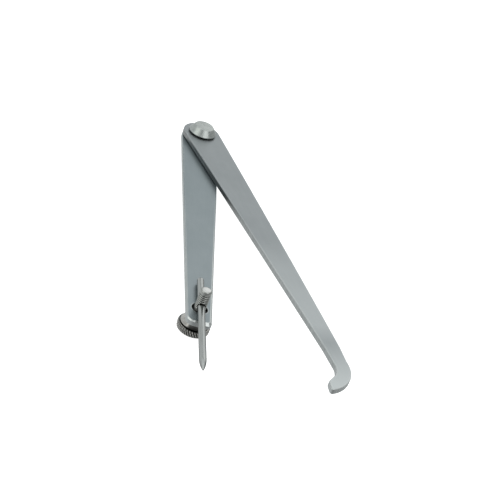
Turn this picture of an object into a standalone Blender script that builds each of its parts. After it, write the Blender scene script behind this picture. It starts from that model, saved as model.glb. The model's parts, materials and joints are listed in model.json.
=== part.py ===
"""Odd-leg caliper with an adjustable scriber, lying flat with its legs pointing to -Y.

The pivot axis is the Z axis, and the origin is the centre of the flat face on the rivet's head.
The scriber leg lies along -Y behind (under) the hook leg, which is open by REST_OPENING.
Lengths are in metres, written as a number of millimetres times MM.
"""
from math import asin, cos, pi, radians, sin

import bmesh
import bpy
from mathutils import Matrix, Vector

MM = 0.001

# Clearances
GAP = 0.2 * MM                      # between pieces that touch on the real tool
LEG_GAP = 0.3 * MM                  # between the faces of the two legs

# Legs: two flat bars of one sheet thickness, joined at a round head
PLATE_T = 2.0 * MM
PLATE_BEVEL = 0.2 * MM
HEAD_R = 7.4 * MM
PIVOT_HOLE_R = 2.8 * MM
REST_OPENING = radians(20.0)

# Scriber leg, which carries the clamp near its end
STUD_Y = -116.0 * MM
STUD_HALF_WIDTH = 4.43 * MM         # of the scriber leg, beside the stud
STUD_HOLE_R = 2.7 * MM
LEG_END_Y = -123.9 * MM
LEG_CORNER_LEFT_R = 2.7 * MM
LEG_CORNER_RIGHT_R = 1.5 * MM

# Hook leg, in its own frame with the leg along -Y; its foot turns to -X
HOOK_HALF_WIDTH = 3.0 * MM          # where the foot begins
FOOT_START_Y = -130.0 * MM
INNER_BOW = 0.1 * MM                # how far its flanks bow to +X between head and foot
OUTER_BOW = 0.27 * MM
FOOT_OUTER = Vector((-11.1, -138.1, 0.0)) * MM      # centre of the foot's outer arc
FOOT_OUTER_R = 13.35 * MM
FOOT_OUTER_SPAN = (radians(-82.0), radians(3.0))
FOOT_INNER = Vector((-11.05, -138.7, 0.0)) * MM     # centre of the foot's inner arc
FOOT_INNER_R = 7.9 * MM
FOOT_INNER_SPAN = (radians(0.0), radians(-46.0))
TOE_BOTTOM = Vector((-9.76, -151.33, 0.0)) * MM      # lower corner of the toe's end face
TOE_TOP = Vector((-9.08, -147.78, 0.0)) * MM        # upper corner of the toe's end face
TOE_SHOULDER = Vector((-8.55, -146.7, 0.0)) * MM    # where the toe's upper edge rounds off

# Pivot rivet and its washers
RIVET_HEAD_R = 5.4 * MM
RIVET_FACE_R = 3.75 * MM
RIVET_HEAD_H = 2.35 * MM
SHANK_R = 2.5 * MM
WASHER_R = 4.7 * MM
WASHER_T = 0.35 * MM
BURR_R = 4.9 * MM
BURR_FACE_R = 3.9 * MM
BURR_T = 0.8 * MM
TAIL_R = 3.6 * MM
TAIL_H = 1.0 * MM

# Clamp: a stud with a cross hole, and a knurled nut behind the leg
STUD_R = 1.95 * MM
STUD_FRONT = 7.7 * MM               # how far it stands in front of the scriber leg
STUD_RECESS = 0.2 * MM              # how far its back end lies inside the nut
STUD_CHAMFER = 0.45 * MM
CROSS_HOLE_R = 1.45 * MM
NUT_BORE_R = 2.2 * MM
NUT_WASHER_R = 3.6 * MM
NUT_WASHER_T = 0.5 * MM
HUB_R = 3.5 * MM                    # the hub where it meets the washer
HUB_BASE_R = 4.9 * MM               # the hub where it meets the rim
HUB_H = 3.1 * MM
GROOVE_R = 4.5 * MM
GROOVE_T = 0.35 * MM
RIM_R = 5.6 * MM
RIM_T = 2.3 * MM
RIM_CHAMFER = 0.25 * MM

# Scriber: a hardened needle through the stud's cross hole
SCRIBER_R = 1.22 * MM
SCRIBER_CLEARANCE = 0.3 * MM        # from the needle to the leg's front face
SCRIBER_TILT = radians(1.1)
SCRIBER_UP = 14.6 * MM              # from the stud's axis to the upper end
SCRIBER_DOWN = 34.6 * MM            # from the stud's axis to the tip
TIP_LENGTH = 5.5 * MM
TIP_R = 0.22 * MM
BUTT_LENGTH = 0.7 * MM
BUTT_R = 0.8 * MM

# Facets around a full circle
FINE = 48
PLAIN = 32

# Levels along Z, from the rivet's face down
HEAD_BASE_Z = -RIVET_HEAD_H
WASHER_TOP_Z = HEAD_BASE_Z - GAP
HOOK_FRONT_Z = WASHER_TOP_Z - WASHER_T - GAP
HOOK_BACK_Z = HOOK_FRONT_Z - PLATE_T
LEG_FRONT_Z = HOOK_BACK_Z - LEG_GAP
LEG_BACK_Z = LEG_FRONT_Z - PLATE_T
BURR_TOP_Z = LEG_BACK_Z - GAP
TAIL_TOP_Z = BURR_TOP_Z - BURR_T - GAP
NUT_WASHER_TOP_Z = LEG_BACK_Z - GAP
NUT_TOP_Z = NUT_WASHER_TOP_Z - NUT_WASHER_T - GAP
NUT_BACK_Z = NUT_TOP_Z - HUB_H - RIM_T
STUD_FRONT_Z = LEG_FRONT_Z + STUD_FRONT
SCRIBER_Z = LEG_FRONT_Z + SCRIBER_CLEARANCE + SCRIBER_R

STUD_AXIS = Vector((0.0, STUD_Y, 0.0))

# Finishes: base colour, metallic, roughness
FINISHES = {
    "leg_steel": ((0.43, 0.46, 0.46), 1.0, 0.42),
    "turned_steel": ((0.55, 0.57, 0.55), 1.0, 0.30),
    "nut_steel": ((0.33, 0.31, 0.29), 1.0, 0.38),
    "scriber_steel": ((0.50, 0.52, 0.51), 1.0, 0.28),
    "fibre": ((0.035, 0.035, 0.035), 0.0, 0.70),
}


def clear_scene():
    for old in list(bpy.data.objects):
        bpy.data.objects.remove(old, do_unlink=True)


def make_collection(name):
    made = bpy.data.collections.new(name)
    bpy.context.scene.collection.children.link(made)
    return made


def make_materials():
    made = {}
    for name, (colour, metallic, roughness) in FINISHES.items():
        material = bpy.data.materials.new(name)
        material.use_nodes = True
        shader = material.node_tree.nodes["Principled BSDF"]
        shader.inputs["Base Color"].default_value = (*colour, 1.0)
        shader.inputs["Metallic"].default_value = metallic
        shader.inputs["Roughness"].default_value = roughness
        made[name] = material
    return made


def arc(centre, radius, start, end, steps):
    """Points on an arc around Z, from the start angle to the end angle."""
    angles = [start + (end - start) * i / steps for i in range(steps + 1)]
    return [Vector(centre) + Vector((radius * cos(a), radius * sin(a), 0.0)) for a in angles]


def circle(centre, radius, steps):
    return arc(centre, radius, 0.0, 2.0 * pi, steps)[:-1]


def head_arc(half_width, y):
    """The round head at the pivot, from the flank at +X over the top to the flank at -X.

    Each flank is tangent to the head and reaches half_width at the given y.
    """
    reach = Vector((half_width, y)).length
    lean = asin(HEAD_R / reach) - asin(half_width / reach)
    return arc((0.0, 0.0, 0.0), HEAD_R, -lean, pi + lean, FINE * 5 // 8)


def extruded_plate(name, outline, holes, top_z):
    """A flat bar with its upper face at top_z, its holes cut through and its edges broken."""
    curve = bpy.data.curves.new(name, "CURVE")
    curve.dimensions = "2D"
    curve.fill_mode = "BOTH"
    curve.extrude = PLATE_T / 2.0
    for loop in [outline] + holes:
        spline = curve.splines.new("POLY")
        spline.points.add(len(loop) - 1)
        for point, place in zip(spline.points, loop):
            point.co = (place.x, place.y, 0.0, 1.0)
        spline.use_cyclic_u = True
    plate = bpy.data.objects.new(name, curve)
    plate.location.z = top_z - PLATE_T / 2.0
    weld = plate.modifiers.new("join_caps", "WELD")
    weld.merge_threshold = 0.00001
    bevel = plate.modifiers.new("broken_edges", "BEVEL")
    bevel.width = PLATE_BEVEL
    bevel.segments = 1
    bevel.limit_method = "ANGLE"
    bevel.angle_limit = radians(60.0)
    return plate


def turned(name, profile, steps):
    """A solid of revolution about Z; the profile lists (radius, z) from the top down."""
    mesh = bpy.data.meshes.new(name)
    edges = [(i, i + 1) for i in range(len(profile) - 1)]
    if profile[0][0] > 0.0 or profile[-1][0] > 0.0:
        edges.append((len(profile) - 1, 0))
    mesh.from_pydata([(r, 0.0, z) for r, z in profile], edges, [])
    piece = bpy.data.objects.new(name, mesh)
    screw = piece.modifiers.new("turn", "SCREW")
    screw.axis = "Z"
    screw.steps = steps
    screw.render_steps = steps
    screw.use_merge_vertices = True
    screw.merge_threshold = 0.00001
    screw.use_smooth_shade = False
    return piece


def cutter(name, radius, length, steps):
    """A plain cylinder along Z that cuts a hole and isn't part of the object."""
    cylinder = bmesh.new()
    bmesh.ops.create_cone(
        cylinder, cap_ends=True, segments=steps, radius1=radius, radius2=radius, depth=length
    )
    mesh = bpy.data.meshes.new(name)
    cylinder.to_mesh(mesh)
    cylinder.free()
    tool = bpy.data.objects.new(name, mesh)
    tool.hide_render = True
    tool.display_type = "WIRE"
    return tool


def scriber_leg():
    slope = (HEAD_R - STUD_HALF_WIDTH) / -STUD_Y

    def corner(side, radius, start):
        """The rounded lower corner on the flank at -X or +X, as side is -1 or 1."""
        y = LEG_END_Y + radius
        x = STUD_HALF_WIDTH - slope * (STUD_Y - y) - radius
        return arc((side * x, y, 0.0), radius, start, start + 0.5 * pi, 8)

    outline = (
        head_arc(STUD_HALF_WIDTH, STUD_Y)
        + corner(-1.0, LEG_CORNER_LEFT_R, pi)
        + corner(1.0, LEG_CORNER_RIGHT_R, 1.5 * pi)
    )
    holes = [circle((0.0, 0.0, 0.0), PIVOT_HOLE_R, PLAIN), circle(STUD_AXIS, STUD_HOLE_R, PLAIN)]
    return extruded_plate("scriber_leg", outline, holes, LEG_FRONT_Z)


def bowed_flank(start, end, bow, steps):
    """Points between two ends of a flank, moved towards +X by up to bow."""
    made = []
    for i in range(1, steps):
        share = i / steps
        shift = bow * 4.0 * share * (1.0 - share)
        made.append(start.lerp(end, share) + Vector((shift, 0.0, 0.0)))
    return made


def hook_leg():
    head = head_arc(HOOK_HALF_WIDTH, FOOT_START_Y)
    inner_start = Vector((-HOOK_HALF_WIDTH, FOOT_START_Y, 0.0))
    outer_start = Vector((HOOK_HALF_WIDTH, FOOT_START_Y, 0.0))
    outline = (
        head
        + bowed_flank(head[-1], inner_start, INNER_BOW, 8)
        + [inner_start]
        + arc(FOOT_INNER, FOOT_INNER_R, *FOOT_INNER_SPAN, 10)
        + [TOE_SHOULDER, TOE_TOP, TOE_BOTTOM]
        + arc(FOOT_OUTER, FOOT_OUTER_R, *FOOT_OUTER_SPAN, 18)
        + [outer_start]
        + bowed_flank(outer_start, head[0], OUTER_BOW, 8)
    )
    holes = [circle((0.0, 0.0, 0.0), PIVOT_HOLE_R, PLAIN)]
    leg = extruded_plate("hook_leg", outline, holes, HOOK_FRONT_Z)
    leg.rotation_euler.z = REST_OPENING
    return leg


def joint_rivet():
    """The pivot: a turned conical head, the shank, and the tail peened over the burr."""
    tail_back = TAIL_TOP_Z - TAIL_H
    profile = [
        (0.0, 0.0),
        (RIVET_FACE_R, 0.0),
        (RIVET_HEAD_R, HEAD_BASE_Z + 0.25 * MM),
        (RIVET_HEAD_R, HEAD_BASE_Z),
        (SHANK_R, HEAD_BASE_Z),
        (SHANK_R, TAIL_TOP_Z),
        (TAIL_R, TAIL_TOP_Z),
        (TAIL_R * 0.9, TAIL_TOP_Z - TAIL_H * 0.6),
        (TAIL_R * 0.62, tail_back),
        (0.0, tail_back),
    ]
    return turned("joint_rivet", profile, FINE)


def rivet_front_washer():
    top = WASHER_TOP_Z
    profile = [
        (PIVOT_HOLE_R, top),
        (WASHER_R, top),
        (WASHER_R, top - WASHER_T),
        (PIVOT_HOLE_R, top - WASHER_T),
    ]
    return turned("rivet_front_washer", profile, FINE)


def rivet_rear_burr():
    top = BURR_TOP_Z
    profile = [
        (PIVOT_HOLE_R, top),
        (BURR_R, top),
        (BURR_R, top - BURR_T * 0.4),
        (BURR_FACE_R, top - BURR_T),
        (PIVOT_HOLE_R, top - BURR_T),
    ]
    return turned("rivet_rear_burr", profile, FINE)


def clamp_stud(cutters):
    back = NUT_BACK_Z + STUD_RECESS
    profile = [
        (0.0, STUD_FRONT_Z),
        (STUD_R - STUD_CHAMFER, STUD_FRONT_Z),
        (STUD_R, STUD_FRONT_Z - STUD_CHAMFER),
        (STUD_R, back + STUD_CHAMFER),
        (STUD_R - STUD_CHAMFER, back),
        (0.0, back),
    ]
    stud = turned("clamp_stud", profile, PLAIN)
    stud.location = STUD_AXIS
    hole = cutter("cross_hole", CROSS_HOLE_R, 4.0 * STUD_R, 24)
    cutters.objects.link(hole)
    hole.matrix_world = along_scriber()
    cut = stud.modifiers.new("cross_hole", "BOOLEAN")
    cut.operation = "DIFFERENCE"
    cut.solver = "EXACT"
    cut.object = hole
    return stud


def nut_washer():
    top = NUT_WASHER_TOP_Z
    profile = [
        (NUT_BORE_R, top),
        (NUT_WASHER_R, top),
        (NUT_WASHER_R, top - NUT_WASHER_T),
        (NUT_BORE_R, top - NUT_WASHER_T),
    ]
    washer = turned("nut_washer", profile, PLAIN)
    washer.location = STUD_AXIS
    return washer


def knurled_nut():
    rim_top = NUT_TOP_Z - HUB_H
    profile = [
        (NUT_BORE_R, NUT_TOP_Z),
        (HUB_R, NUT_TOP_Z),
        (HUB_BASE_R, rim_top + GROOVE_T),
        (GROOVE_R, rim_top + GROOVE_T),
        (GROOVE_R, rim_top),
        (RIM_R - RIM_CHAMFER, rim_top),
        (RIM_R, rim_top - RIM_CHAMFER),
        (RIM_R, NUT_BACK_Z + RIM_CHAMFER),
        (RIM_R - RIM_CHAMFER, NUT_BACK_Z),
        (NUT_BORE_R, NUT_BACK_Z),
    ]
    nut = turned("knurled_nut", profile, FINE)
    nut.location = STUD_AXIS
    return nut


def along_scriber():
    """The frame of the needle: its centre at the stud's axis and its +Z towards the butt."""
    place = Matrix.Translation((0.0, STUD_Y, SCRIBER_Z))
    tilt = Matrix.Rotation(SCRIBER_TILT, 4, "Z")
    lay_down = Matrix.Rotation(-0.5 * pi, 4, "X")
    return place @ tilt @ lay_down


def scriber():
    profile = [
        (0.0, SCRIBER_UP),
        (BUTT_R, SCRIBER_UP),
        (SCRIBER_R, SCRIBER_UP - BUTT_LENGTH),
        (SCRIBER_R, TIP_LENGTH - SCRIBER_DOWN),
        (SCRIBER_R * 0.86, 0.66 * TIP_LENGTH - SCRIBER_DOWN),
        (SCRIBER_R * 0.58, 0.30 * TIP_LENGTH - SCRIBER_DOWN),
        (TIP_R, -SCRIBER_DOWN),
        (0.0, -SCRIBER_DOWN),
    ]
    needle = turned("scriber", profile, PLAIN)
    needle.matrix_world = along_scriber()
    return needle


def main():
    clear_scene()
    caliper = make_collection("odd_leg_caliper")
    cutters = make_collection("cutters")
    materials = make_materials()
    pieces = [
        (scriber_leg(), "leg_steel"),
        (hook_leg(), "leg_steel"),
        (joint_rivet(), "turned_steel"),
        (rivet_front_washer(), "fibre"),
        (rivet_rear_burr(), "turned_steel"),
        (clamp_stud(cutters), "turned_steel"),
        (nut_washer(), "turned_steel"),
        (knurled_nut(), "nut_steel"),
        (scriber(), "scriber_steel"),
    ]
    for piece, finish in pieces:
        piece.data.materials.append(materials[finish])
        caliper.objects.link(piece)


main()
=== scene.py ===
"""The looks of an odd-leg caliper with an adjustable scriber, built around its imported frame.

Lengths are in metres. Those of the tool are written as a number of millimetres times MM.
"""
import json
from math import acos, asin, atan2, cos, hypot, pi, radians, sin, sqrt, tan

import bmesh
import bpy
from mathutils import Matrix, Quaternion, Vector


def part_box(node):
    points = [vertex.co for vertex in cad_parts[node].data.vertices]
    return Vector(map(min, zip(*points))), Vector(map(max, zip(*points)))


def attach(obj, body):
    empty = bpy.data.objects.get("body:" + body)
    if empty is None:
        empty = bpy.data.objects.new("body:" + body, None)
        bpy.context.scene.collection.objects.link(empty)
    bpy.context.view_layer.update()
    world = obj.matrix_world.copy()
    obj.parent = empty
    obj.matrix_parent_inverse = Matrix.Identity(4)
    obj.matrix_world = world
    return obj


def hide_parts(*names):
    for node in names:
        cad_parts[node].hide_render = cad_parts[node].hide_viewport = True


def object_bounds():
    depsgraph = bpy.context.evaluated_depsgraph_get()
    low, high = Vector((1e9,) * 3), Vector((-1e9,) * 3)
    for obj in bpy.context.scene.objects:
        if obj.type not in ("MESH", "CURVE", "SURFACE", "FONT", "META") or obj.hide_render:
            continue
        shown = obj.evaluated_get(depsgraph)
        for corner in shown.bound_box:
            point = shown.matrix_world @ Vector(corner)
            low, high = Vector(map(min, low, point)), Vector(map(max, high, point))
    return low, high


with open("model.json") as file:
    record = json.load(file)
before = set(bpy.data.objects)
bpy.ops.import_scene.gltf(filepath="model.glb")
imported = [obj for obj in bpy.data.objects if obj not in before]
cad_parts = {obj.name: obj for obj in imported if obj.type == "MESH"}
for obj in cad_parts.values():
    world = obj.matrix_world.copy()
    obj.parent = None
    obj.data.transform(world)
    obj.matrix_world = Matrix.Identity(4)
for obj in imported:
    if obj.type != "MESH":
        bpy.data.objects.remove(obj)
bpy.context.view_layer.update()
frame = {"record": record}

MM = 0.001

# Legs
HEAD_R = 7.4 * MM
PIVOT_HOLE_R = 2.8 * MM
REST_OPENING = radians(20.0)
EDGE_ROUND = 0.28 * MM              # the broken front edges of both legs
BACK_ROUND = 0.2 * MM
HOLE_ROUND = 0.18 * MM
FACE_MARGIN = 0.35 * MM             # how far an edge's wear and painted highlight spread over the face
CHAMFER_HIGHLIGHT = 1.5                  # how much more a chamfer is lightened than a rounded edge, as painted highlight
SHARPEST_MITRE = 0.5                # the cosine below which a corner's offset stops growing

# The legs' steel: a darker and a lighter colour, and shares at distances from the pivot
GREY_FACES = ((0.355, 0.385, 0.395), (0.425, 0.455, 0.465))
BLUISH_FACES = ((0.325, 0.377, 0.395), (0.395, 0.447, 0.465))
WALL_STEEL = ((0.40, 0.42, 0.42), (0.52, 0.54, 0.54))
# painted highlight colour for the faces towards the hook's foot
FACE_HIGHLIGHT_STEEL = (0.69, 0.73, 0.73)
# worn edges' colour, lighter still as painted highlight
WORN_HIGHLIGHT_STEEL = (0.66, 0.69, 0.68)
# near-black painted shade for the back of the holes' walls
PAINTED_HOLE_SHADE = (0.02, 0.02, 0.02)
EDGE_HIGHLIGHT_REACH = (40.0 * MM, 90.0 * MM)    # the edges' wear and painted highlight are slight next to the joint
PLAIN_WALLS = ((0.0, 1.0), (160.0 * MM, 1.0))
# painted shade on the hook leg's walls, as shares of their colour, darkest near the joint
PAINTED_SHADE_WALLS = (
    (20.0 * MM, 0.55), (32.0 * MM, 0.32), (44.0 * MM, 0.30),
    (57.0 * MM, 0.68), (80.0 * MM, 0.82), (140.0 * MM, 0.82), (148.0 * MM, 1.0),
)
# painted highlight on the faces, lighter towards the hook's foot, none on the scriber leg
NO_FACE_HIGHLIGHT = ((0.0, 0.0), (160.0 * MM, 0.0))
FOOT_HIGHLIGHT = (
    (70.0 * MM, 0.0), (88.0 * MM, 0.33), (119.0 * MM, 0.55),
    (128.0 * MM, 0.17), (140.0 * MM, 0.65), (150.0 * MM, 1.0),
)

# Scriber leg
STUD_HALF_WIDTH = 4.43 * MM
STUD_HOLE_R = 2.7 * MM
LEG_CORNER_LEFT_R = 2.7 * MM
LEG_CORNER_RIGHT_R = 1.5 * MM
END_CHAMFER_LEFT = 0.38 * MM        # the worn chamfer across the leg's lower end
END_CHAMFER_RIGHT = 0.85 * MM
END_WEAR_HEIGHT = 2.4 * MM          # how far up the lower corners that chamfer reaches
END_WEAR_FULL = 0.96 * MM           # and below which height it has its full width

# Hook leg, in its own frame with the leg along -Y, where its foot turns to -X
HOOK_HALF_WIDTH = 3.0 * MM
FOOT_START_Y = -130.0 * MM
INNER_BOW = 0.1 * MM                # how far its flanks bow to +X between head and foot
OUTER_BOW = 0.27 * MM
FOOT_OUTER = Vector((-11.1, -138.1)) * MM
FOOT_OUTER_R = 13.35 * MM
FOOT_OUTER_SPAN = (radians(-79.0), radians(3.0))
FOOT_INNER = Vector((-11.05, -138.7)) * MM
FOOT_INNER_R = 7.9 * MM
FOOT_INNER_SPAN = (radians(0.0), radians(-46.0))
TOE_BOTTOM = Vector((-9.76, -151.33)) * MM
TOE_TOP = Vector((-9.08, -147.78)) * MM
TOE_SHOULDER = Vector((-8.55, -146.7)) * MM
TOE_CORNER_R = 0.8 * MM             # the rounding of the toe's lower corner
TOE_ROUND = 0.6 * MM                # and of its two upper ones

# Pivot rivet
RIVET_FACE_R = 3.75 * MM
RIVET_RIM_H = 0.25 * MM
SHANK_R = 2.5 * MM
TAIL_R = 3.6 * MM
HEAD_GAP = 0.04 * MM                # between the rivet's head and its washer
TAIL_GAP = 0.2 * MM                 # between the tail's rim and the burr's back

# Clamp stud
STUD_CROWN = 0.75 * MM              # the radius around both ends
PLAIN_END = 1.1 * MM                # the unthreaded front end
THREAD_START = 0.5 * MM             # the length over which the thread reaches its depth
THREAD_PITCH = 0.7 * MM
THREAD_DEPTH = 0.34 * MM
HOLE_SHADE_SPAN = (0.6 * MM, -0.1 * MM)  # heights over the leg above which the stud has no painted shade, and below which it has it in full, inside the hole
CROSS_HOLE_R = 1.45 * MM
CROSS_HOLE_MOUTH_R = 1.7 * MM
CROSS_HOLE_MOUTH = (1.0 * MM, 2.0 * MM)     # the hole widens between these, from the stud's axis
CROSS_HOLE_REACH = 4.0 * MM         # well past the stud on both sides

# Knurled nut
NUT_BORE_R = 2.2 * MM
HUB_R = 3.5 * MM
HUB_BASE_R = 4.9 * MM
HUB_H = 3.1 * MM
GROOVE_R = 4.5 * MM
GROOVE_T = 0.35 * MM
RIM_CHAMFER = 0.25 * MM
HUB_DARK_REFLECTION_ANGLE = radians(-97.0)      # the middle of a painted dark reflection on one side of the hub
HUB_DARK_REFLECTION_CORE = radians(14.4)        # it is darkest up to here on either side of that
HUB_DARK_REFLECTION_SPAN = radians(36.0)        # and has faded away here
HUB_DARK_REFLECTION_HEIGHT = 0.3                # it is darkest below this share of the hub's height
KNURL_COUNT = 38
KNURL_DEPTH = 0.38 * MM
KNURL_ANGLE = radians(30.0)
KNURL_FLANK = (0.25, 0.95)          # a ridge's side, from its crest at 0 to its root at 1
CROSSING_SHARE = 0.5                # how deep the ridges are that slant the other way

# Scriber
SCRIBER_TILT = radians(1.1)
SCRIBER_UP = 14.6 * MM
SCRIBER_DOWN = 34.6 * MM
TIP_LENGTH = 5.5 * MM
TIP_R = 0.2 * MM
BUTT_LENGTH = 0.7 * MM
BUTT_R = 0.8 * MM

# Points for each curve
HEAD_STEPS = 80
CORNER_STEPS = 20                   # each lower corner of the scriber leg
END_STEPS = 6                       # the straight end between them
FLANK_STEPS = 24
FOOT_INNER_STEPS = 24
FOOT_OUTER_STEPS = 48
TOE_STEPS = 6
HOLE_STEPS = 64
CROSS_HOLE_STEPS = 48
FRONT_EDGE_STEPS = 6
BACK_EDGE_STEPS = 3
FILLET_STEPS = 4
ROUND_STEPS = 96
STUD_STEPS = 72
THREAD_STEPS = 8                    # rings for each turn of the thread
KNURL_ROWS = 22
KNURL_STEPS = 10                    # columns for each ridge
SCRIBER_STEPS = 64
TIP_STEPS = 24

# Camera
CAMERA_PLACE = Vector((-80.527, -508.580, 257.849)) * MM
CAMERA_AIM = Vector((18.590, -71.580, -5.981)) * MM
CAMERA_ROLL = radians(21.29)
CAMERA_LENS = 106.203               # on a 36 mm sensor

# Floor and light
FLOOR_HALF = 3.0
FLOOR_GAP = 0.2 * MM                # between the tool and the floor
TOOL_MIDDLE = (0.015, -0.07, 0.0)
TABLE_GLOW = 0.56                   # what the metal sees below the horizon
ROOM_GLOW = 0.42                    # and above it, between the softboxes
FRONT_SHARE = 0.60                  # the glow towards the front, as a share of the back's
LEFT_SHARE = 1.45                   # towards the left, as a share of the right's
TOP_SHARE = 2.1                     # and straight above, as a share of the sides'


# ---------------------------------------------------------------- places from the frame

def span_z(node):
    low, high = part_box(node)
    return low[2], high[2]


def joint_place(name):
    joints = frame["record"]["behaviour"]["joints"]
    return Vector(next(joint["pos_m"] for joint in joints if joint["name"] == name))


def standing_at(centre):
    return Matrix.Translation((centre.x, centre.y, 0.0))


PIVOT = joint_place("leg_pivot")
STUD = joint_place("scriber_swivel")


# ---------------------------------------------------------------- outlines

def arc(centre, radius, start, end, steps):
    """Points on an arc from the start angle to the end angle, ends included."""
    angles = [start + (end - start) * i / steps for i in range(steps + 1)]
    return [Vector((centre[0] + radius * cos(a), centre[1] + radius * sin(a))) for a in angles]


def circle(centre, radius, steps, clockwise=False):
    sweep = -2.0 * pi if clockwise else 2.0 * pi
    return arc(centre, radius, 0.0, sweep, steps)[:-1]


def head_arc(half_width, y, steps):
    """The round head, from the flank at +X over the top to the flank at -X."""
    reach = hypot(half_width, y)
    lean = asin(HEAD_R / reach) - asin(half_width / reach)
    return arc((0.0, 0.0), HEAD_R, -lean, pi + lean, steps)


def fillet(before, corner, after, radius, steps):
    """Points that round off one corner of an outline."""
    to_before = (before - corner).normalized()
    to_after = (after - corner).normalized()
    half = 0.5 * acos(max(-1.0, min(1.0, to_before.dot(to_after))))
    reach = radius / tan(half)
    centre = corner + (to_before + to_after).normalized() * (radius / sin(half))
    first = corner + to_before * reach - centre
    last = corner + to_after * reach - centre
    start = atan2(first.y, first.x)
    sweep = (atan2(last.y, last.x) - start + pi) % (2.0 * pi) - pi
    return arc(centre, radius, start, start + sweep, steps)


def turned_about_z(points, angle):
    turn = Matrix.Rotation(angle, 2)
    return [turn @ point for point in points]


def smooth(low, high, value):
    """A share that eases from 0 at low to 1 at high, where low may be above high."""
    t = max(0.0, min(1.0, (value - low) / (high - low)))
    return t * t * (3.0 - 2.0 * t)


# ---------------------------------------------------------------- meshes

def new_object(name, data):
    made = bpy.data.objects.new(name, data)
    bpy.context.scene.collection.objects.link(made)
    return made


def new_mesh(name, shape):
    mesh = bpy.data.meshes.new(name)
    shape.to_mesh(mesh)
    shape.free()
    return mesh


def shade(piece, angle):
    piece.data.shade_smooth()
    piece.data.set_sharp_from_angle(angle=radians(angle))
    normals = piece.modifiers.new("face_normals", "WEIGHTED_NORMAL")
    normals.keep_sharp = True
    normals.weight = 80


def inward_normals(loop):
    """For each point, the unit direction into the material and the stretch of a mitred offset."""
    made = []
    count = len(loop)
    for i, point in enumerate(loop):
        along_a = (point - loop[i - 1]).normalized()
        along_b = (loop[(i + 1) % count] - point).normalized()
        left_a = Vector((-along_a.y, along_a.x))
        left_b = Vector((-along_b.y, along_b.x))
        middle = (left_a + left_b).normalized()
        made.append(middle / max(SHARPEST_MITRE, middle.dot(left_a)))
    return made


def join_rings(shape, rings):
    """Faces between neighbouring rings of points, where a ring of one point is a pole."""
    for upper, lower in zip(rings, rings[1:]):
        for i in range(max(len(upper), len(lower))):
            if len(upper) == 1:
                shape.faces.new((upper[0], lower[i - 1], lower[i]))
            elif len(lower) == 1:
                shape.faces.new((upper[i - 1], lower[0], upper[i]))
            else:
                shape.faces.new((upper[i - 1], lower[i - 1], lower[i], upper[i]))


def ring_edges(shape, ring):
    return [shape.edges.get((ring[i - 1], ring[i])) for i in range(len(ring))]


def plate_rows(fronts, front_z, back_z, back_round):
    """The rows of points down a plate's wall, from the front face round to the back face.

    Each row holds its points' offsets into the material, their levels and their value of the
    edge attribute, which lightens worn edges and paints a highlight on them. That last one is
    None on the front edge, where it depends on how flat the edge is.
    """
    count = len(fronts)
    rows = [([FACE_MARGIN + r for r, _ in fronts], [front_z] * count, 0.0)]
    for k in range(FRONT_EDGE_STEPS, -1, -1):
        share = k / FRONT_EDGE_STEPS
        a = 0.5 * pi * share
        offsets = [r * ((1.0 - cos(a)) * (1.0 - flat) + share * flat) for r, flat in fronts]
        drops = [r * ((1.0 - sin(a)) * (1.0 - flat) + (1.0 - share) * flat) for r, flat in fronts]
        rows.append((offsets, [front_z - drop for drop in drops], None))
    for k in range(BACK_EDGE_STEPS + 1):
        a = 0.5 * pi * k / BACK_EDGE_STEPS
        offset = back_round * (1.0 - cos(a))
        level = back_z + back_round * (1.0 - sin(a))
        rows.append(([offset] * count, [level] * count, 1.0))
    rows.append(([back_round + FACE_MARGIN] * count, [back_z] * count, 0.0))
    return rows


def plate(name, loops, front_z, back_z, front_round, back_round):
    """A flat bar from closed outlines, with its edges rounded.

    The first loop is the outline, counter-clockwise, and the others are holes, clockwise.
    front_round(point, is_hole) gives the front edge's radius there, and how flat it is: 0 is
    round and 1 is a straight chamfer. The edges' attribute is 1 on the rounded edges, more on a
    chamfer, and fades to 0 over FACE_MARGIN; it lightens the worn edges and paints a highlight on
    them. The holes' attribute is 1 on the holes' walls, where it paints shade.
    """
    shape = bmesh.new()
    wear_highlight = shape.verts.layers.float.new("edge_wear_and_highlight")
    hole_shade = shape.verts.layers.float.new("hole_shade")
    front_edges = []
    back_edges = []
    for number, loop in enumerate(loops):
        is_hole = number > 0
        normals = inward_normals(loop)
        fronts = [front_round(point, is_hole) for point in loop]
        rings = []
        for offsets, levels, highlit_wear in plate_rows(fronts, front_z, back_z, back_round):
            ring = []
            for point, normal, offset, level, front in zip(loop, normals, offsets, levels, fronts):
                vertex = shape.verts.new((*(point + normal * offset), level))
                # edges lightened for wear and as painted highlight; holes' walls darkened as painted
                # shade
                vertex[wear_highlight] = 1.0 + CHAMFER_HIGHLIGHT * front[1] if highlit_wear is None else highlit_wear
                vertex[hole_shade] = 1.0 if is_hole and highlit_wear == 1.0 else 0.0
                ring.append(vertex)
            rings.append(ring)
        join_rings(shape, rings)
        front_edges += ring_edges(shape, rings[0])
        back_edges += ring_edges(shape, rings[-1])
    bmesh.ops.triangle_fill(shape, use_beauty=True, use_dissolve=False, edges=front_edges)
    bmesh.ops.triangle_fill(shape, use_beauty=True, use_dissolve=False, edges=back_edges)
    bmesh.ops.recalc_face_normals(shape, faces=shape.faces)
    return new_mesh(name, shape)


def rounded_profile(corners):
    """A turned profile from (radius, z, fillet) corners; a fillet of 0 keeps a point as it is."""
    made = []
    places = [Vector((r, z)) for r, z, _ in corners]
    for i, (r, z, size) in enumerate(corners):
        if size <= 0.0 or i == 0 or i == len(corners) - 1:
            made.append((r, z))
        else:
            rounded = fillet(places[i - 1], places[i], places[i + 1], size, FILLET_STEPS)
            made += [(p.x, p.y) for p in rounded]
    return made


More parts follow.
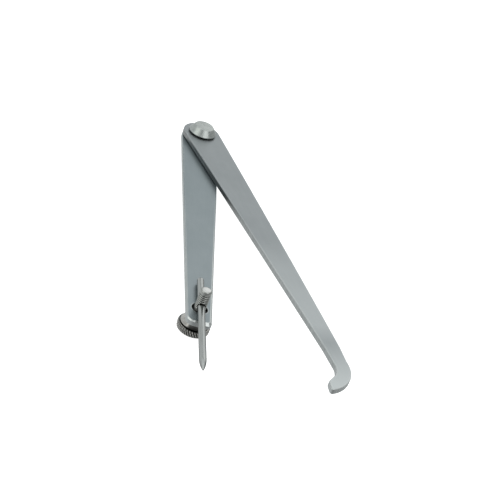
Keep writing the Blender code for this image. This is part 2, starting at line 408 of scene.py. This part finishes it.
def turned(name, profile, steps, closed=False, relief=None):
    """A solid of revolution about Z.

    relief(radius, z, angle) gives a depth that is taken off the radius, and how much shade is
    painted on the place, in hollows or as a dark reflection, which goes into an attribute.
    """
    shape = bmesh.new()
    painted_shade = shape.verts.layers.float.new("painted_shade")
    rings = []
    for r, z in profile:
        if r <= 0.0:
            rings.append([shape.verts.new((0.0, 0.0, z))])
            continue
        ring = []
        for i in range(steps):
            a = 2.0 * pi * i / steps
            depth, darkness = relief(r, z, a) if relief else (0.0, 0.0)
            vertex = shape.verts.new(((r - depth) * cos(a), (r - depth) * sin(a), z))
            vertex[painted_shade] = darkness
            ring.append(vertex)
        rings.append(ring)
    join_rings(shape, rings + rings[:1] if closed else rings)
    bmesh.ops.recalc_face_normals(shape, faces=shape.faces)
    return new_mesh(name, shape)


# ---------------------------------------------------------------- materials

class Tree:
    """Short calls for the nodes of one material."""

    def __init__(self, name):
        self.material = bpy.data.materials.new(name)
        self.material.use_nodes = True
        self.nodes = self.material.node_tree.nodes
        self.links = self.material.node_tree.links
        self.shader = self.nodes["Principled BSDF"]

    def set(self, socket, value):
        self.shader.inputs[socket].default_value = value

    def join(self, source, target):
        self.links.new(source, target)

    def place(self):
        return self.nodes.new("ShaderNodeTexCoord").outputs["Object"]

    def stretched(self, source, scale, turn=0.0):
        """Coordinates scaled along each axis, after a turn about Z."""
        turned_place = self.nodes.new("ShaderNodeMapping")
        turned_place.inputs["Rotation"].default_value = (0.0, 0.0, turn)
        self.join(source, turned_place.inputs["Vector"])
        scaled = self.nodes.new("ShaderNodeMapping")
        scaled.inputs["Scale"].default_value = scale
        self.join(turned_place.outputs["Vector"], scaled.inputs["Vector"])
        return scaled.outputs["Vector"]

    def noise(self, source, scale, detail=3.0, roughness=0.5):
        node = self.nodes.new("ShaderNodeTexNoise")
        node.inputs["Scale"].default_value = scale
        node.inputs["Detail"].default_value = detail
        node.inputs["Roughness"].default_value = roughness
        self.join(source, node.inputs["Vector"])
        return node.outputs["Fac"]

    def spread(self, source, low, high, from_low=0.3, from_high=0.7):
        node = self.nodes.new("ShaderNodeMapRange")
        node.inputs["From Min"].default_value = from_low
        node.inputs["From Max"].default_value = from_high
        node.inputs["To Min"].default_value = low
        node.inputs["To Max"].default_value = high
        self.join(source, node.inputs["Value"])
        return node.outputs["Result"]

    def stops(self, source, pairs):
        """A share that runs straight between the (value, share) pairs, in rising order of value."""
        last = pairs[-1][0]
        node = self.nodes.new("ShaderNodeValToRGB")
        while len(node.color_ramp.elements) < len(pairs):
            node.color_ramp.elements.new(0.5)
        for element, (value, share) in zip(node.color_ramp.elements, pairs):
            element.position = value / last
            element.color = (share, share, share, 1.0)
        self.join(self.maths("DIVIDE", source, last), node.inputs["Fac"])
        return node.outputs["Color"]

    def length(self, source):
        node = self.nodes.new("ShaderNodeVectorMath")
        node.operation = "LENGTH"
        self.join(source, node.inputs[0])
        return node.outputs["Value"]

    def maths(self, operation, first, second=None):
        node = self.nodes.new("ShaderNodeMath")
        node.operation = operation
        for socket, value in zip(node.inputs, (first, second)):
            if value is None:
                continue
            if isinstance(value, (int, float)):
                socket.default_value = value
            else:
                self.join(value, socket)
        return node.outputs["Value"]

    def blend(self, share, first, second):
        """One colour over another, where each is a colour or a socket."""
        node = self.nodes.new("ShaderNodeMix")
        node.data_type = "RGBA"
        sockets = [s for s in node.inputs if s.type == "RGBA"]
        for socket, value in zip(sockets, (first, second)):
            if isinstance(value, tuple):
                socket.default_value = (*value, 1.0)
            else:
                self.join(value, socket)
        self.join(share, node.inputs["Factor"])
        return [s for s in node.outputs if s.type == "RGBA"][0]

    def attribute(self, name):
        node = self.nodes.new("ShaderNodeAttribute")
        node.attribute_name = name
        return node.outputs["Fac"]

    def facing(self, axis, low, high):
        """0 where the piece's own normal has less than low along the axis, 1 above high."""
        normal = self.nodes.new("ShaderNodeTexCoord").outputs["Normal"]
        split = self.nodes.new("ShaderNodeSeparateXYZ")
        self.join(normal, split.inputs["Vector"])
        return self.spread(split.outputs[axis], 0.0, 1.0, low, high)

    def side_share(self):
        """1 on walls parallel to Z, 0 on faces across it."""
        up = self.facing("Z", 0.1, 0.5)
        down = self.facing("Z", -0.1, -0.5)
        return self.maths("SUBTRACT", 1.0, self.maths("MAXIMUM", up, down))

    def bump(self, height, distance, strength):
        node = self.nodes.new("ShaderNodeBump")
        node.inputs["Strength"].default_value = strength
        node.inputs["Distance"].default_value = distance
        self.join(height, node.inputs["Height"])
        self.join(node.outputs["Normal"], self.shader.inputs["Normal"])

    def spun(self, anisotropic):
        """Round turning marks about the piece's own Z axis."""
        tangent = self.nodes.new("ShaderNodeTangent")
        tangent.direction_type = "RADIAL"
        tangent.axis = "Z"
        self.set("Anisotropic", anisotropic)
        self.join(tangent.outputs["Tangent"], self.shader.inputs["Tangent"])


def leg_steel(name, along, faces, walls, face_highlight):
    """Satin plated steel with a faint grain along the leg, brighter on its worn edges, with a highlight
    painted on them too.

    along is the leg's angle about Z, and faces holds the two colours of its faces. walls gives
    the brightness of its walls, darkened as painted shade, and the last argument how far its faces
    are lightened as painted highlight, both as (distance from the pivot, share) pairs.
    """
    tree = Tree(name)
    tree.set("Metallic", 1.0)
    place = tree.place()
    distance = tree.length(place)
    clouds = tree.noise(place, 55.0, 4.0, 0.55)
    grain = tree.noise(tree.stretched(place, (1800.0, 160.0, 1800.0), -along), 1.0)
    fine = tree.noise(place, 2600.0, 2.0)
    sheared = tree.noise(tree.stretched(place, (900.0, 900.0, 60.0)), 1.0)
    sides = tree.side_share()
    edge_wear_and_highlight = tree.attribute("edge_wear_and_highlight")

    face = tree.blend(tree.spread(clouds, 0.0, 1.0), *faces)
    # painted highlight on the faces, by distance from the pivot
    face = tree.blend(tree.stops(distance, face_highlight), face, FACE_HIGHLIGHT_STEEL)
    wall = tree.blend(tree.spread(sheared, 0.0, 1.0), *WALL_STEEL)
    # painted shade on the walls, by distance from the pivot
    wall = tree.blend(tree.stops(distance, walls), (0.0, 0.0, 0.0), wall)
    base = tree.blend(sides, face, wall)
    # worn edges, lightened further as painted highlight
    highlit_wear = tree.maths("MULTIPLY", edge_wear_and_highlight, tree.spread(clouds, 0.35, 0.8))
    highlit_wear = tree.maths("MULTIPLY", highlit_wear, tree.spread(distance, 0.2, 1.0, *EDGE_HIGHLIGHT_REACH))
    highlit_wear = tree.maths("MULTIPLY", highlit_wear, tree.maths("SUBTRACT", 1.0, sides))
    base = tree.blend(highlit_wear, base, WORN_HIGHLIGHT_STEEL)
    # painted shade at the back of the holes' walls
    base = tree.blend(tree.attribute("hole_shade"), base, PAINTED_HOLE_SHADE)
    tree.join(base, tree.shader.inputs["Base Color"])

    polish = tree.spread(edge_wear_and_highlight, 0.0, -0.12, 0.0, 1.0)
    rough = tree.maths("ADD", tree.spread(clouds, 0.37, 0.43), tree.spread(grain, -0.03, 0.03))
    tree.join(tree.maths("ADD", rough, polish), tree.shader.inputs["Roughness"])
    tree.bump(tree.maths("ADD", tree.maths("MULTIPLY", grain, 0.5), fine), 0.004 * MM, 0.6)
    return tree.material


def turned_steel(name, dark, light, roughness, spun=0.6, end=None):
    """Bright turned steel: round tool marks about Z, with dull cloudy patches, darkened as painted shade
    where the mesh's shade attribute says.

    end is a lighter colour painted on front faces across Z as a highlight, where it differs.
    """
    tree = Tree(name)
    tree.set("Metallic", 1.0)
    place = tree.place()
    split = tree.nodes.new("ShaderNodeSeparateXYZ")
    tree.join(place, split.inputs["Vector"])
    square_x = tree.maths("MULTIPLY", split.outputs["X"], split.outputs["X"])
    square_y = tree.maths("MULTIPLY", split.outputs["Y"], split.outputs["Y"])
    radius = tree.maths("SQRT", tree.maths("ADD", square_x, square_y))
    across = tree.nodes.new("ShaderNodeCombineXYZ")
    tree.join(radius, across.inputs["X"])
    tree.join(split.outputs["Z"], across.inputs["Z"])
    rings = tree.noise(across.outputs["Vector"], 9000.0, 2.0)
    clouds = tree.noise(place, 420.0, 4.0, 0.6)
    base = tree.blend(tree.spread(clouds, 0.0, 1.0), dark, light)
    # a painted highlight on the front faces
    if end is not None:
        base = tree.blend(tree.facing("Z", 0.88, 0.97), base, end)
    # painted shade in hollows, and a painted dark reflection, from the mesh's attribute
    shade_colour = tuple(0.16 * channel for channel in dark)
    base = tree.blend(tree.attribute("painted_shade"), base, shade_colour)
    tree.join(base, tree.shader.inputs["Base Color"])
    rough = tree.spread(rings, roughness - 0.05, roughness + 0.05)
    rough = tree.maths("ADD", rough, tree.spread(clouds, -0.04, 0.06))
    tree.join(rough, tree.shader.inputs["Roughness"])
    tree.bump(rings, 0.006 * MM, 0.7)
    tree.spun(spun)
    return tree.material


def ground_steel(name):
    """A hardened needle: fine marks along its length, with painted shade on its flanks beside a lighter
    top.
    """
    tree = Tree(name)
    tree.set("Metallic", 1.0)
    place = tree.place()
    streaks = tree.noise(tree.stretched(place, (3800.0, 3800.0, 90.0)), 1.0, 4.0)
    clouds = tree.noise(place, 300.0, 3.0)
    base = tree.blend(tree.spread(streaks, 0.0, 1.0), (0.45, 0.47, 0.46), (0.64, 0.66, 0.65))
    shaded_flank = tree.blend(tree.spread(streaks, 0.0, 1.0), (0.17, 0.175, 0.17), (0.32, 0.33, 0.32))
    # The piece's own -Y is up: painted shade goes on the flanks turned away from it, and on those
    # towards +X.
    base = tree.blend(tree.facing("Y", -0.25, -0.68), shaded_flank, base)
    base = tree.blend(tree.facing("X", 0.34, 0.60), base, shaded_flank)
    tree.join(base, tree.shader.inputs["Base Color"])
    rough = tree.maths("ADD", tree.spread(streaks, 0.15, 0.26), tree.spread(clouds, -0.02, 0.03))
    tree.join(rough, tree.shader.inputs["Roughness"])
    tree.bump(streaks, 0.008 * MM, 0.6)
    return tree.material


def fibre(name):
    """Hard black fibre, matte with short flecks."""
    tree = Tree(name)
    place = tree.place()
    flecks = tree.noise(tree.stretched(place, (2400.0, 2400.0, 900.0)), 1.0, 4.0, 0.7)
    base = tree.blend(tree.spread(flecks, 0.0, 1.0), (0.018, 0.017, 0.016), (0.06, 0.055, 0.05))
    tree.join(base, tree.shader.inputs["Base Color"])
    tree.join(tree.spread(flecks, 0.62, 0.8), tree.shader.inputs["Roughness"])
    tree.bump(flecks, 0.02 * MM, 0.7)
    return tree.material


# ---------------------------------------------------------------- pieces

def make_piece(name, mesh, material, body, node, place=None, angle=40.0):
    piece = new_object(name, mesh)
    piece.data.materials.append(material)
    if place is not None:
        piece.matrix_world = place
    shade(piece, angle)
    bpy.context.view_layer.update()
    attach(piece, body)
    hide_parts(node)
    return piece


def make_scriber_leg(material):
    back_z, front_z = span_z("scriber_leg")
    low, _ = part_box("scriber_leg")
    slope = (HEAD_R - STUD_HALF_WIDTH) / -STUD.y

    def corner(side, radius, start):
        """The rounded lower corner on the flank at -X or +X, as side is -1 or 1."""
        y = low[1] + radius
        x = STUD_HALF_WIDTH - slope * (STUD.y - y) - radius
        return arc((side * x, y), radius, start, start + 0.5 * pi, CORNER_STEPS)

    left_corner = corner(-1.0, LEG_CORNER_LEFT_R, pi)
    right_corner = corner(1.0, LEG_CORNER_RIGHT_R, 1.5 * pi)
    left, right = left_corner[-1].x, right_corner[0].x
    outline = (
        head_arc(STUD_HALF_WIDTH, STUD.y, HEAD_STEPS)
        + left_corner
        + [Vector((left + (right - left) * i / END_STEPS, low[1])) for i in range(1, END_STEPS)]
        + right_corner
    )
    holes = [
        circle(PIVOT.xy, PIVOT_HOLE_R, HOLE_STEPS, clockwise=True),
        circle(STUD.xy, STUD_HOLE_R, HOLE_STEPS, clockwise=True),
    ]

    def front_round(point, is_hole):
        if is_hole:
            return HOLE_ROUND, 0.0
        near_end = smooth(low[1] + END_WEAR_HEIGHT, low[1] + END_WEAR_FULL, point.y)
        to_right = smooth(left, right, point.x)
        full = END_CHAMFER_LEFT + (END_CHAMFER_RIGHT - END_CHAMFER_LEFT) * to_right
        return EDGE_ROUND + (full - EDGE_ROUND) * near_end, near_end

    mesh = plate("scriber_leg_bar", [outline] + holes, front_z, back_z, front_round, BACK_ROUND)
    make_piece("scriber_leg_bar", mesh, material, "scriber_leg", "scriber_leg")


def bowed_flank(start, end, bow, steps):
    """Points between two ends of a flank, moved towards +X by up to bow."""
    made = []
    for i in range(1, steps):
        share = i / steps
        shift = bow * 4.0 * share * (1.0 - share)
        made.append(start.lerp(end, share) + Vector((shift, 0.0)))
    return made


def make_hook_leg(material):
    back_z, front_z = span_z("hook_leg")
    head = head_arc(HOOK_HALF_WIDTH, FOOT_START_Y, HEAD_STEPS)
    inner_start = Vector((-HOOK_HALF_WIDTH, FOOT_START_Y))
    outer_start = Vector((HOOK_HALF_WIDTH, FOOT_START_Y))
    inner = arc(FOOT_INNER, FOOT_INNER_R, *FOOT_INNER_SPAN, FOOT_INNER_STEPS)
    outer = arc(FOOT_OUTER, FOOT_OUTER_R, *FOOT_OUTER_SPAN, FOOT_OUTER_STEPS)
    outline = (
        head
        + bowed_flank(head[-1], inner_start, INNER_BOW, FLANK_STEPS)
        + [inner_start]
        + inner
        + fillet(inner[-1], TOE_SHOULDER, TOE_TOP, TOE_ROUND, TOE_STEPS)
        + fillet(TOE_SHOULDER, TOE_TOP, TOE_BOTTOM, TOE_ROUND, TOE_STEPS)
        + fillet(TOE_TOP, TOE_BOTTOM, outer[0], TOE_CORNER_R, TOE_STEPS)
        + outer
        + [outer_start]
        + bowed_flank(outer_start, head[0], OUTER_BOW, FLANK_STEPS)
    )
    loops = [
        turned_about_z(outline, REST_OPENING),
        circle(PIVOT.xy, PIVOT_HOLE_R, HOLE_STEPS, clockwise=True),
    ]

    def front_round(point, is_hole):
        return (HOLE_ROUND if is_hole else EDGE_ROUND), 0.0

    mesh = plate("hook_leg_bar", loops, front_z, back_z, front_round, BACK_ROUND)
    make_piece("hook_leg_bar", mesh, material, "hook_leg", "hook_leg")


def make_rivet(material):
    low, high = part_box("joint_rivet")
    head_r = high[0]
    base_z = span_z("rivet_front_washer")[1] + HEAD_GAP
    tail_top = span_z("rivet_rear_burr")[0] - TAIL_GAP
    tail_back = low[2]
    tail_h = tail_top - tail_back
    profile = rounded_profile([
        (0.0, high[2], 0.0),
        (RIVET_FACE_R, high[2], 0.12 * MM),
        (head_r, base_z + RIVET_RIM_H, 0.1 * MM),
        (head_r, base_z, 0.04 * MM),
        (SHANK_R, base_z, 0.0),
        (SHANK_R, tail_top, 0.0),
        (TAIL_R, tail_top, 0.05 * MM),
        (0.93 * TAIL_R, tail_top - 0.55 * tail_h, 0.5 * MM),
        (0.55 * TAIL_R, tail_back, 0.4 * MM),
        (0.0, tail_back, 0.0),
    ])
    mesh = turned("pivot_rivet", profile, ROUND_STEPS)
    make_piece("pivot_rivet", mesh, material, "scriber_leg", "joint_rivet", angle=25.0)


def make_ring(name, node, material, body, bore, corners_of, centre):
    """A washer or a burr about its own axis, with rounded corners."""
    low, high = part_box(node)
    outer = 0.5 * (high[0] - low[0])
    profile = rounded_profile(corners_of(bore, outer, low[2], high[2]))
    mesh = turned(name, profile, ROUND_STEPS, closed=True)
    make_piece(name, mesh, material, body, node, standing_at(centre), angle=30.0)


def plain_ring(bore, outer, back, front):
    edge = 0.2 * (front - back)
    return [
        (bore, 0.5 * (front + back), 0.0),
        (bore, front, 0.5 * edge),
        (outer, front, edge),
        (outer, back, edge),
        (bore, back, 0.5 * edge),
        (bore, 0.5 * (front + back) - 0.1 * edge, 0.0),
    ]


def burr_ring(bore, outer, back, front):
    thick = front - back
    return [
        (bore, 0.5 * (front + back), 0.0),
        (bore, front, 0.05 * MM),
        (outer, front, 0.08 * MM),
        (outer, front - 0.4 * thick, 0.2 * MM),
        (0.8 * outer, back, 0.12 * MM),
        (bore, back, 0.05 * MM),
        (bore, 0.5 * (front + back) - 0.01 * MM, 0.0),
    ]


def thread_cut(phase):
    """How much of the thread's depth is cut away at a share of a turn."""
    crest = 0.16
    root = 0.20
    rise = 0.5 * (1.0 - crest - root)
    if phase < crest:
        return 0.0
    if phase < crest + rise:
        return (phase - crest) / rise
    if phase < crest + rise + root:
        return 1.0
    return 1.0 - (phase - crest - rise - root) / rise


def make_stud(material):
    low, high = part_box("clamp_stud")
    leg_front = span_z("scriber_leg")[1]
    stud_r = 0.5 * (high[0] - low[0])
    length = high[2] - low[2]
    rows = round(length / THREAD_PITCH * THREAD_STEPS)

    def relief(radius, z, angle):
        phase = ((z - low[2]) / THREAD_PITCH + angle / (2.0 * pi)) % 1.0
        from_end = min(high[2] - z, z - low[2])
        short = max(0.0, STUD_CROWN - from_end)
        crown = STUD_CROWN - sqrt(STUD_CROWN ** 2 - short ** 2)
        # painted shade in the thread's roots, and on the stud inside the leg's hole
        share = thread_cut(phase) * smooth(PLAIN_END, PLAIN_END + THREAD_START, high[2] - z)
        hole_shade = smooth(leg_front + HOLE_SHADE_SPAN[0], leg_front + HOLE_SHADE_SPAN[1], z)
        return max(share * THREAD_DEPTH, crown), max(share ** 2, hole_shade)

    profile = [(0.0, high[2])]
    profile += [(stud_r, high[2] - length * i / rows) for i in range(rows + 1)]
    profile += [(0.0, low[2])]
    mesh = turned("clamp_stud_threaded", profile, STUD_STEPS, relief=relief)
    return make_piece(
        "clamp_stud_threaded", mesh, material, "clamp_stud", "clamp_stud",
        standing_at(STUD), angle=35.0,
    )


def cross_hole_tool():
    """A round bar along the needle's frame, wider where the hole has its mouth, and marked so that the
    walls it cuts get painted shade.
    """
    shape = bmesh.new()
    painted_shade = shape.verts.layers.float.new("painted_shade")
    rings = []
    for z, radius in (
        (CROSS_HOLE_REACH, CROSS_HOLE_R),
        (-CROSS_HOLE_MOUTH[0], CROSS_HOLE_R),
        (-CROSS_HOLE_MOUTH[1], CROSS_HOLE_MOUTH_R),
        (-CROSS_HOLE_REACH, CROSS_HOLE_MOUTH_R),
    ):
        ring = [shape.verts.new((*p, z)) for p in circle((0.0, 0.0), radius, CROSS_HOLE_STEPS)]
        # the walls that this cuts get painted shade
        for vertex in ring:
            vertex[painted_shade] = 1.0
        rings.append(ring)
    shape.faces.new(rings[0])
    join_rings(shape, rings)
    shape.faces.new(reversed(rings[-1]))
    return new_object("cross_hole_tool", new_mesh("cross_hole_tool", shape))


def cut_cross_hole(stud):
    tool = cross_hole_tool()
    tool.matrix_world = along_scriber()
    cut = stud.modifiers.new("cross_hole", "BOOLEAN")
    cut.operation = "DIFFERENCE"
    cut.solver = "EXACT"
    cut.object = tool
    # The hole is cut before the normals are weighted.
    stud.modifiers.move(1, 0)
    bpy.context.view_layer.update()
    evaluated = stud.evaluated_get(bpy.context.evaluated_depsgraph_get())
    shell = bpy.data.meshes.new_from_object(evaluated)
    stud.modifiers.clear()
    stud.data = shell
    bpy.data.objects.remove(tool, do_unlink=True)


def nut_relief(rim_r, rim_top):
    """The knurl's depth, and the shade painted into its valleys and the groove, and a dark reflection
    painted on the hub.
    """
    ridge = 2.0 * pi * rim_r / KNURL_COUNT

    def hub_darkness(radius, z, angle):
        over_rim = z - rim_top
        # painted shade in the groove
        if radius < GROOVE_R + 0.1 * MM and -0.1 * MM < over_rim < GROOVE_T + 0.02 * MM:
            return 1.0
        # a painted dark reflection on one side of the hub
        dark_reflection = smooth(cos(HUB_DARK_REFLECTION_SPAN), cos(HUB_DARK_REFLECTION_CORE), cos(angle - HUB_DARK_REFLECTION_ANGLE))
        return dark_reflection * smooth(HUB_H, HUB_DARK_REFLECTION_HEIGHT * HUB_H, over_rim)

    def relief(radius, z, angle):
        if radius < rim_r - 0.5 * RIM_CHAMFER:
            return 0.0, hub_darkness(radius, z, angle)
        along = angle * KNURL_COUNT / (2.0 * pi)
        lean = z * tan(KNURL_ANGLE) / ridge
        left = abs(2.0 * ((along + lean) % 1.0) - 1.0)
        right = abs(2.0 * ((along - lean) % 1.0) - 1.0)
        depth = max(smooth(*KNURL_FLANK, left), CROSSING_SHARE * smooth(*KNURL_FLANK, right))
        # painted shade in the knurl's valleys
        return depth * KNURL_DEPTH, smooth(0.2, 0.8, depth)

    return relief


def nut_profile(rim_r, rim_top, back, front):
    middle = 0.5 * (front + back)
    hub = rounded_profile([
        (NUT_BORE_R, middle, 0.0),
        (NUT_BORE_R, front, 0.2 * MM),
        (HUB_R, front, 0.15 * MM),
        (HUB_BASE_R - 0.1 * MM, rim_top + GROOVE_T + 0.3 * MM, 0.15 * MM),
        (HUB_BASE_R, rim_top + GROOVE_T, 0.08 * MM),
        (GROOVE_R, rim_top + GROOVE_T, 0.05 * MM),
        (GROOVE_R, rim_top, 0.05 * MM),
        (rim_r - RIM_CHAMFER, rim_top, 0.0),
    ])
    rim_high = rim_top - RIM_CHAMFER
    row_height = (rim_high - back - RIM_CHAMFER) / KNURL_ROWS
    rim = [(rim_r, rim_high - row_height * i) for i in range(KNURL_ROWS + 1)]
    rear = rounded_profile([
        (rim_r - RIM_CHAMFER, back, 0.0),
        (NUT_BORE_R + 0.3 * MM, back, 0.05 * MM),
        (NUT_BORE_R, back + 0.3 * MM, 0.05 * MM),
        (NUT_BORE_R, middle - 0.1 * MM, 0.0),
    ])
    return hub + rim + rear


def make_nut(material):
    back, front = span_z("knurled_nut")
    low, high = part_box("knurled_nut")
    rim_r = 0.5 * (high[0] - low[0])
    rim_top = front - HUB_H
    profile = nut_profile(rim_r, rim_top, back, front)
    relief = nut_relief(rim_r, rim_top)
    columns = KNURL_COUNT * KNURL_STEPS
    mesh = turned("knurled_clamp_nut", profile, columns, closed=True, relief=relief)
    make_piece(
        "knurled_clamp_nut", mesh, material, "knurled_nut", "knurled_nut",
        standing_at(STUD), angle=45.0,
    )


def along_scriber():
    """The needle's frame: its centre at the stud's axis and its +Z towards the butt."""
    low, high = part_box("scriber")
    place = Matrix.Translation((STUD.x, STUD.y, 0.5 * (low[2] + high[2])))
    tilt = Matrix.Rotation(SCRIBER_TILT, 4, "Z")
    lay_down = Matrix.Rotation(-0.5 * pi, 4, "X")
    return place @ tilt @ lay_down


def make_scriber(material):
    low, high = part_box("scriber")
    radius = 0.5 * (high[2] - low[2])
    ogive = (TIP_LENGTH ** 2 + (radius - TIP_R) ** 2) / (2.0 * (radius - TIP_R))
    tip = []
    for i in range(TIP_STEPS + 1):
        up = TIP_LENGTH * (1.0 - i / TIP_STEPS)
        r = radius - ogive + sqrt(ogive ** 2 - (TIP_LENGTH - up) ** 2)
        tip.append((r, up - SCRIBER_DOWN))
    butt = rounded_profile([
        (0.0, SCRIBER_UP, 0.0),
        (BUTT_R, SCRIBER_UP, 0.15 * MM),
        (radius, SCRIBER_UP - BUTT_LENGTH, 1.0 * MM),
        (radius, SCRIBER_UP - 2.5 * BUTT_LENGTH, 0.0),
    ])
    mesh = turned("scriber_needle", butt + tip + [(0.0, -SCRIBER_DOWN)], SCRIBER_STEPS)
    make_piece("scriber_needle", mesh, material, "scriber", "scriber", along_scriber())


# ---------------------------------------------------------------- stage

def make_floor():
    """A white light table just under the tool."""
    low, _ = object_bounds()
    shape = bmesh.new()
    bmesh.ops.create_grid(shape, x_segments=1, y_segments=1, size=FLOOR_HALF)
    floor = new_object("floor", new_mesh("floor", shape))
    floor.location.z = low[2] - FLOOR_GAP
    tree = Tree("floor_white")
    tree.set("Base Color", (0.85, 0.85, 0.85, 1.0))
    tree.set("Roughness", 0.9)
    tree.set("Specular IOR Level", 0.1)
    tree.set("Emission Color", (1.0, 1.0, 1.0, 1.0))
    tree.set("Emission Strength", 0.85)
    floor.data.materials.append(tree.material)
    floor.visible_glossy = False


def make_light(name, direction, distance, size, power, target=TOOL_MIDDLE, tint=(1.0, 1.0, 1.0)):
    """A softbox of that size, at a distance from its target in that direction."""
    light = bpy.data.lights.new(name, "AREA")
    light.color = tint
    light.shape = "RECTANGLE"
    light.size, light.size_y = size
    light.energy = power
    holder = new_object(name, light)
    away = Vector(direction).normalized()
    holder.location = Vector(target) + away * distance
    holder.rotation_mode = "QUATERNION"
    holder.rotation_quaternion = (-away).to_track_quat("-Z", "Y")
    holder.visible_camera = False


def make_world():
    """A room whose glow is the product of one ramp for each direction that it changes along."""
    world = bpy.data.worlds.new("studio")
    world.use_nodes = True
    nodes = world.node_tree.nodes
    links = world.node_tree.links
    background = nodes["Background"]
    split = nodes.new("ShaderNodeSeparateXYZ")
    links.new(nodes.new("ShaderNodeTexCoord").outputs["Generated"], split.inputs["Vector"])
    strength = None
    for axis, from_span, to_span in (
        ("Z", (-0.15, 0.1), (TABLE_GLOW, ROOM_GLOW)),
        ("Y", (-0.95, 0.1), (FRONT_SHARE, 1.0)),
        ("X", (-0.5, 0.1), (LEFT_SHARE, 1.0)),
        ("Z", (0.6, 1.0), (1.0, TOP_SHARE)),
    ):
        ramp = nodes.new("ShaderNodeMapRange")
        ramp.inputs["From Min"].default_value, ramp.inputs["From Max"].default_value = from_span
        ramp.inputs["To Min"].default_value, ramp.inputs["To Max"].default_value = to_span
        links.new(split.outputs[axis], ramp.inputs["Value"])
        if strength is None:
            strength = ramp.outputs["Result"]
            continue
        product = nodes.new("ShaderNodeMath")
        product.operation = "MULTIPLY"
        links.new(strength, product.inputs[0])
        links.new(ramp.outputs["Result"], product.inputs[1])
        strength = product.outputs["Value"]
    links.new(strength, background.inputs["Strength"])
    background.inputs["Color"].default_value = (0.97, 1.0, 1.0, 1.0)
    bpy.context.scene.world = world


def make_lights():
    """Softboxes to the left and the front right, a dim one behind, and a low strip at the clamp."""
    make_light("left_softbox", (-0.775, -0.22, 0.60), 0.65, (0.40, 0.40), 0.29, tint=(0.98, 1.0, 0.92))
    make_light("right_softbox", (0.40, -0.50, 0.77), 0.70, (0.55, 0.35), 0.53)
    make_light("low_strip", (-0.79, -0.575, 0.21), 0.60, (0.14, 0.20), 0.14, target=(0.0, -0.116, -0.01))
    make_light("back_softbox", (0.42, 0.84, 0.50), 0.9, (0.7, 0.6), 0.55)


def make_camera():
    camera = bpy.data.cameras.new("camera")
    camera.lens = CAMERA_LENS
    camera.sensor_width = 36.0
    holder = new_object("camera", camera)
    holder.location = CAMERA_PLACE
    holder.rotation_mode = "QUATERNION"
    look = (CAMERA_AIM - CAMERA_PLACE).to_track_quat("-Z", "Y")
    holder.rotation_quaternion = look @ Quaternion((0.0, 0.0, 1.0), CAMERA_ROLL)
    bpy.context.scene.camera = holder


def main():
    bpy.context.scene.view_settings.view_transform = "Standard"
    make_scriber_leg(leg_steel("satin_scriber_leg", 0.0, BLUISH_FACES, PLAIN_WALLS, NO_FACE_HIGHLIGHT))
    make_hook_leg(leg_steel("satin_hook_leg", REST_OPENING, GREY_FACES, PAINTED_SHADE_WALLS, FOOT_HIGHLIGHT))
    bright = turned_steel("turned_bright", (0.47, 0.50, 0.49), (0.61, 0.64, 0.62), 0.27)
    make_rivet(bright)
    make_ring(
        "pivot_front_washer", "rivet_front_washer", fibre("black_fibre"), "scriber_leg",
        PIVOT_HOLE_R, plain_ring, PIVOT,
    )
    make_ring(
        "pivot_rear_burr", "rivet_rear_burr", bright, "scriber_leg",
        PIVOT_HOLE_R, burr_ring, PIVOT,
    )
    # the stud's front end gets a painted highlight
    stud = make_stud(turned_steel(
        "stud_bright", (0.36, 0.37, 0.355), (0.50, 0.51, 0.49), 0.26, spun=0.3, end=(0.84, 0.85, 0.83)
    ))
    cut_cross_hole(stud)
    make_ring(
        "clamp_nut_washer", "nut_washer", bright, "nut_washer",
        NUT_BORE_R, plain_ring, STUD,
    )
    make_nut(turned_steel("nut_worn", (0.38, 0.37, 0.35), (0.64, 0.63, 0.60), 0.20))
    make_scriber(ground_steel("ground_needle"))
    make_floor()
    make_world()
    make_lights()
    make_camera()


main()
